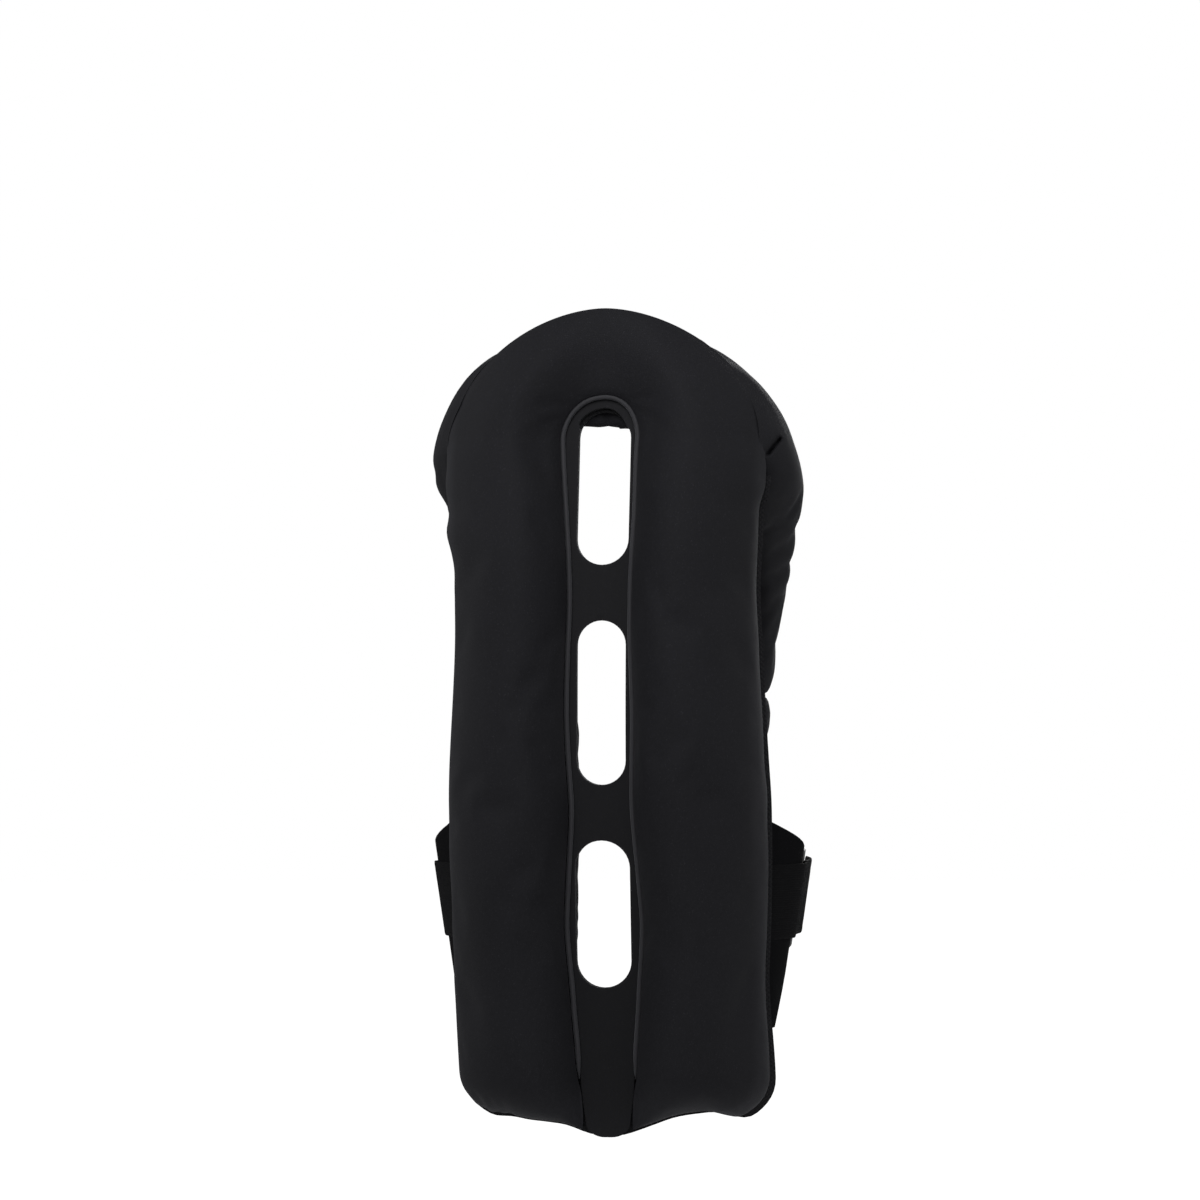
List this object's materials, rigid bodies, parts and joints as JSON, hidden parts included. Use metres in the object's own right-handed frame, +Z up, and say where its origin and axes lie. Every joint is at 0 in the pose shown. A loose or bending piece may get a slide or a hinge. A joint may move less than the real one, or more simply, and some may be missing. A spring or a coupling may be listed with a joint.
{
  "type": "airbag vest",
  "caption": "Inflated airbag vest in its worn form: lobed back with a slotted spine strip, a roll round the neck and over the shoulders, and a waist belt with slide buckles.",
  "frame": {"origin": "middle of the neck opening, level with the top of the shoulders", "axes": "+Z up along the wearer's spine, +Y the way that the wearer faces, so the inflated back faces -Y, +X the wearer's right"},
  "size_m": [0.2522, 0.2627, 0.54],
  "materials": {
    "cover": "matt black stretch cloth",
    "panel": "matt black stretch cloth, laid flat",
    "lining": "matt black mesh lining",
    "webbing": "matt black woven webbing",
    "plastic": "black moulded plastic, satin"
  },
  "bodies": {
    "root": {"back_cushion": "cover", "spine_panel": "panel", "back_lining": "lining", "collar_cushion": "cover", "shoulder_cushion_left": "cover", "shoulder_cushion_right": "cover", "front_cushion_left": "cover", "front_cushion_right": "cover", "side_wing_left": "webbing", "side_wing_right": "webbing", "side_buckle_left": "plastic", "side_buckle_right": "plastic", "waist_strap_left": "webbing", "waist_strap_right": "webbing", "front_clasp": "plastic"}
  },
  "joints": []
}
